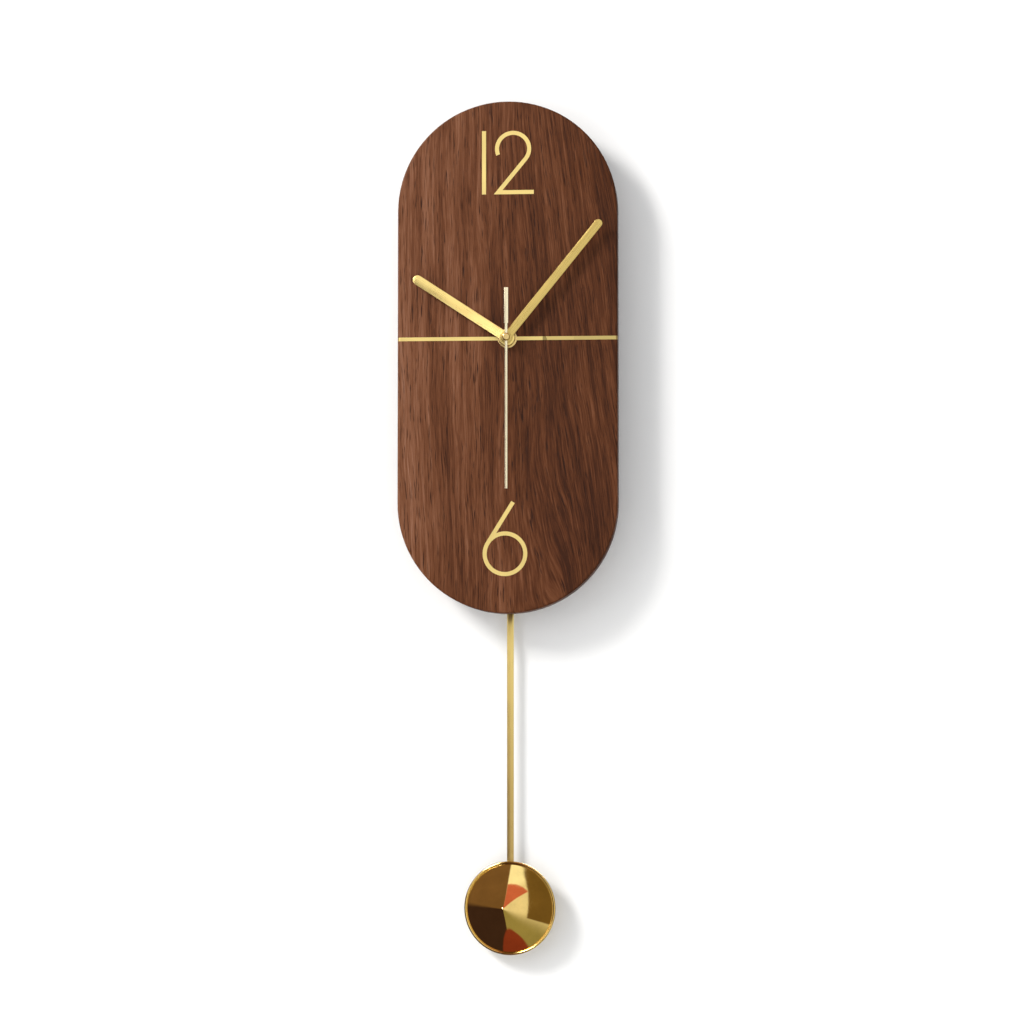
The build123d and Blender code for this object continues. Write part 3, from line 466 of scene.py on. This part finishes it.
edge_widths = {
    "hour_hand": 0.00014,
    "minute_hand": 0.00014,
    "second_hand": 0.0001,
    "pendulum_rod": 0.00015,
    "minute_nut": 0.00008,
    "front_washer": 0.0001,
    "movement_rear_cover": 0.0003,
    "hanger_bracket": 0.0002,
    "setting_knob": 0.00015,
    "bob_clip": 0.0002,
    "bracket_screws": 0.0002,
    "wall_spacers": 0.0004,
    "pendulum_hanger": 0.0002,
}
for name, thing in nodes.items():
    soften(thing, edge_widths.get(name, 0.0))


# ------------------------------------------------------------------ turned pieces
def lathe(name, profile, frame_matrix, segments):
    """Surface of revolution: profile is (radius, height) along the local Z of frame_matrix."""
    mesh = bpy.data.meshes.new(name)
    shape = bmesh.new()
    rings = []
    for radius, height in profile:
        if radius < 1e-7:
            rings.append([shape.verts.new((0, 0, height))])
            continue
        ring = []
        for step in range(segments):
            turn = 2 * pi * step / segments
            ring.append(shape.verts.new((radius * cos(turn), radius * sin(turn), height)))
        rings.append(ring)
    for lower, upper in zip(rings, rings[1:]):
        for step in range(segments):
            following = (step + 1) % segments
            corners = [
                lower[step % len(lower)],
                lower[following % len(lower)],
                upper[following % len(upper)],
                upper[step % len(upper)],
            ]
            face = [corner for i, corner in enumerate(corners) if corner not in corners[:i]]
            if len(face) > 2:
                shape.faces.new(face)
    bmesh.ops.recalc_face_normals(shape, faces=shape.faces)
    bmesh.ops.transform(shape, matrix=frame_matrix, verts=shape.verts)
    shape.to_mesh(mesh)
    shape.free()
    thing = bpy.data.objects.new(name, mesh)
    bpy.context.scene.collection.objects.link(thing)
    mesh.shade_smooth()
    return thing


def arc(middle, radius, start, end, steps):
    """Points on an arc in the profile plane, angles in degrees."""
    points = []
    for step in range(steps + 1):
        turn = radians(start + (end - start) * step / steps)
        points.append((middle[0] + radius * cos(turn), middle[1] + radius * sin(turn)))
    return points


# spun bob: rolled lip, short flat, then a slightly bulged cone with a blunt tip
bob_radius = (bob_high.z - bob_low.z) / 2
lip = 0.0009
cone_height = 0.021
bob_centre = Vector((0, bob_depth, (bob_high.z + bob_low.z) / 2))
bob_out = Vector((-sin(bob_turn), -cos(bob_turn), 0))
bob_side = Vector((cos(bob_turn), -sin(bob_turn), 0))
bob_axes = Matrix((bob_side, bob_out.cross(bob_side), bob_out)).transposed().to_4x4()
bob_place = Matrix.Translation(bob_centre) @ bob_axes


def bob_profile():
    """Outline from the inside of the rolled lip, over it and up the cone to the tip."""
    steps = 60
    bulge = 0.00125
    foot = (bob_radius - 2.15 * lip, 0.0005)
    tip = (0.0016, cone_height - 0.0003)
    points = [(foot[0] - 0.0006, 0.0), (bob_radius - lip, -0.00002)]
    points += arc((bob_radius - lip, 0.0), lip, -80, 168, 22)
    for step in range(steps + 1):
        share = step / steps
        radius = foot[0] + (tip[0] - foot[0]) * share
        height = foot[1] + (tip[1] - foot[1]) * share + bulge * sin(pi * share)
        points.append((radius, height))
    points += [(0.0009, cone_height + 0.00005), (0.0004, cone_height + 0.00022)]
    return points + [(0.0, cone_height + 0.00026)]


bob_shell = lathe("bob_spun_shell", bob_profile(), bob_place, 192)
coat(bob_shell, finishes["bob_brass"])
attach(bob_shell, "bob")
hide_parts("bob_front_shell")

# cell: crimped can ends and a film jacket
cell_low, cell_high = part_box("aa_battery")
cell_radius = (cell_high.z - cell_low.z) / 2
cell_length = cell_high.x - cell_low.x
nub = 0.0014
curl = 0.0005
cell_middle = (cell_low + cell_high) / 2
along_x = Matrix.Rotation(radians(90), 4, "Y")
cell_place = Matrix.Translation((cell_low.x, cell_middle.y, cell_middle.z)) @ along_x
shoulder = cell_length - nub
jacket = [(cell_radius - 0.0009, 0.00035), (cell_radius - 0.0003, 0.00035)]
jacket += arc((cell_radius - curl, 0.0008), curl, -90, 0, 6)
jacket += arc((cell_radius - curl, shoulder - 0.0008), curl, 0, 90, 6)
jacket += [(cell_radius - 0.0012, shoulder - 0.0004)]
cell_jacket = lathe("cell_jacket_film", jacket, cell_place, 96)
coat(cell_jacket, finishes["cell_jacket"])
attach(cell_jacket, "cell")
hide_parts("aa_battery")
can_radius = cell_radius - 0.0008
can = [(0.0, 0.0), (cell_radius - 0.0022, 0.0), (cell_radius - 0.0014, 0.0003), (can_radius, 0.0005)]
can += [(can_radius, shoulder - 0.0006), (cell_radius - 0.0015, shoulder - 0.0002)]
can += [(cell_radius - 0.0026, shoulder - 0.0007), (0.0030, shoulder - 0.0005), (0.0026, shoulder)]
can += arc((0.0020, cell_length - 0.0006), 0.0006, 0, 90, 5) + [(0.0, cell_length)]
cell_can = lathe("cell_steel_can", can, cell_place, 96)
coat(cell_can, finishes["crystal_can"])
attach(cell_can, "cell")


# ------------------------------------------------------------------ floor and wall
def one_sided(name, colour, rough):
    """Backdrop plaster that is open from behind, so the back of the clock can be seen."""
    plaster = Recipe(name, Roughness=rough, Specular_IOR_Level=0.1)
    speck = plaster.noise((30, 30, 30), detail=4)
    light = tuple(min(1.0, channel * 1.01) for channel in colour)
    plaster.colour(plaster.ramp(speck, [(0.3, colour), (0.7, light)]))
    clear = plaster.node("ShaderNodeBsdfTransparent")
    facing = plaster.node("ShaderNodeNewGeometry").outputs["Backfacing"]
    sides = {0: facing, 1: plaster.shader.outputs[0], 2: clear.outputs[0]}
    chosen = plaster.node("ShaderNodeMixShader", sides)
    plaster.tree.links.new(chosen.outputs[0], plaster.tree.nodes["Material Output"].inputs["Surface"])
    return plaster.material


def backdrop(name, corners, material):
    """One flat stage sheet, left out of mirror reflections."""
    mesh = bpy.data.meshes.new(name)
    mesh.from_pydata(corners, [], [(0, 1, 2, 3)])
    thing = bpy.data.objects.new(name, mesh)
    bpy.context.scene.collection.objects.link(thing)
    coat(thing, material)
    thing.visible_glossy = False


floor_z = -1.75
wall_y = 0.0006
reach = 4.0
backdrop(
    "studio_floor",
    [(-reach, -reach, floor_z), (reach, -reach, floor_z), (reach, reach, floor_z), (-reach, reach, floor_z)],
    one_sided("floor_paint", (0.80, 0.80, 0.79), 0.7),
)
backdrop(
    "studio_wall",
    [(-reach, wall_y, floor_z), (reach, wall_y, floor_z), (reach, wall_y, reach), (-reach, wall_y, reach)],
    one_sided("wall_paint", (0.90, 0.90, 0.90), 0.8),
)


# ------------------------------------------------------------------ light
def studio_world():
    """Soft pale light all round. Mirror reflections see a room with brown sides and pale openings."""
    world = bpy.data.worlds.new("studio")
    bpy.context.scene.world = world
    world.use_nodes = True
    tree = world.node_tree
    tree.nodes.clear()

    def node(kind, inputs=None, **settings):
        return add_node(tree, kind, inputs, **settings)

    def math(operation, first, second=0.0, third=0.0):
        return node("ShaderNodeMath", {0: first, 1: second, 2: third}, operation=operation).outputs[0]

    def step(value, low, high):
        inputs = {"Value": value, "From Min": low, "From Max": high, "To Min": 0.0, "To Max": 1.0}
        return node("ShaderNodeMapRange", inputs, interpolation_type="SMOOTHSTEP").outputs["Result"]

    def mix(factor, first, second):
        return node("ShaderNodeMix", {0: factor, 6: first, 7: second}, data_type="RGBA").outputs[2]

    low_brown, left_brown = (0.052, 0.028, 0.026, 1), (0.22, 0.13, 0.07, 1)
    right_brown = (0.20, 0.13, 0.045, 1)
    pale, overhead_pale = (1.0, 0.98, 0.90, 1), (1.25, 1.30, 1.30, 1)
    olive, mat_red, terracotta = (0.36, 0.34, 0.17, 1), (0.26, 0.05, 0.03, 1), (0.72, 0.20, 0.16, 1)
    rear_grey, soft_white = (0.62, 0.62, 0.62, 1), (0.93, 0.94, 0.95, 1)
    soft_strength, mirror_extra = 0.85, 0.15

    way = node("ShaderNodeTexCoord").outputs["Generated"]
    x, y, z = node("ShaderNodeSeparateXYZ", {"Vector": way}).outputs
    ahead = math("MULTIPLY", y, -1.0)
    right_of_left_wall = step(x, -0.22, -0.18)
    # brown room, darker low on the left
    room = mix(step(z, -0.02, 0.10), low_brown, left_brown)
    room = mix(right_of_left_wall, room, right_brown)
    # pale front opening whose right side slopes away, brighter overhead
    slope = math("MULTIPLY_ADD", x, 0.57, 0.20)
    beyond = step(math("SUBTRACT", ahead, slope), -0.015, 0.015)
    opening = mix(step(z, 0.80, 0.92), pale, overhead_pale)
    # it dims to olive towards the floor and spreads to the right down there
    opening = mix(step(z, -0.15, -0.80), opening, olive)
    lower = math("MULTIPLY", step(z, -0.43, -0.47), step(x, -0.13, -0.07))
    room = mix(math("MAXIMUM", math("MULTIPLY", beyond, right_of_left_wall), lower), room, opening)
    # dark red mat straight below
    mat = math("MULTIPLY", step(z, -0.925, -0.94), step(x, 0.26, 0.18))
    room = mix(mat, room, mat_red)
    # terracotta panel hung inside the opening
    edge = math("MULTIPLY_ADD", x, 0.27, 0.37)
    panel = math("MULTIPLY", step(math("SUBTRACT", ahead, edge), -0.01, 0.01), step(z, 0.62, 0.65))
    room = mix(math("MULTIPLY", panel, right_of_left_wall), room, terracotta)
    # plain grey behind the clock
    room = mix(step(ahead, -0.35, -0.50), room, rear_grey)
    glossy = node("ShaderNodeLightPath").outputs["Is Glossy Ray"]
    seen = mix(glossy, soft_white, room)
    strength = math("MULTIPLY_ADD", glossy, mirror_extra, soft_strength)
    background = node("ShaderNodeBackground", {"Color": seen, "Strength": strength})
    output = node("ShaderNodeOutputWorld")
    tree.links.new(background.outputs[0], output.inputs["Surface"])


def softbox(name, place, aim, width, height, power):
    """Rectangular area light with a slightly warm tint, in metres and watts."""
    light = bpy.data.lights.new(name, "AREA")
    light.shape = "RECTANGLE"
    light.size = width
    light.size_y = height
    light.energy = power
    light.color = (1.0, 0.98, 0.95)
    lamp = bpy.data.objects.new(name, light)
    lamp.location = place
    lamp.rotation_mode = "QUATERNION"
    lamp.rotation_quaternion = (Vector(aim) - Vector(place)).to_track_quat("-Z", "Y")
    bpy.context.scene.collection.objects.link(lamp)


studio_world()
middle = (cad_low + cad_high) / 2
softbox("key", (-2.1, -2.2, 1.6), middle, 0.9, 0.9, 85)
softbox("left_sheen", (-0.95, -1.45, 0.15), hub, 0.30, 1.2, 4)
softbox("back_fill", (0.8, 2.4, 1.2), middle, 1.2, 1.2, 55)


# ------------------------------------------------------------------ camera
def camera():
    """Long lens, a little to the right and below, as the clock is pictured."""
    azimuth = radians(4.5)
    elevation = radians(-4.0)
    distance = 2.6
    field = 0.694
    aim_x, aim_z = 0.0032, -0.2413
    lens = bpy.data.cameras.new("camera")
    lens.sensor_width = 36.0
    lens.lens = lens.sensor_width * distance / field
    view = bpy.data.objects.new("camera", lens)
    aim = Vector((aim_x, board_front, aim_z))
    back = Vector((sin(azimuth) * cos(elevation), -cos(azimuth) * cos(elevation), sin(elevation)))
    view.location = aim + back * distance
    view.rotation_mode = "QUATERNION"
    view.rotation_quaternion = (-back).to_track_quat("-Z", "Y")
    bpy.context.scene.collection.objects.link(view)
    bpy.context.scene.camera = view


camera()
bpy.context.scene.view_settings.view_transform = "Standard"
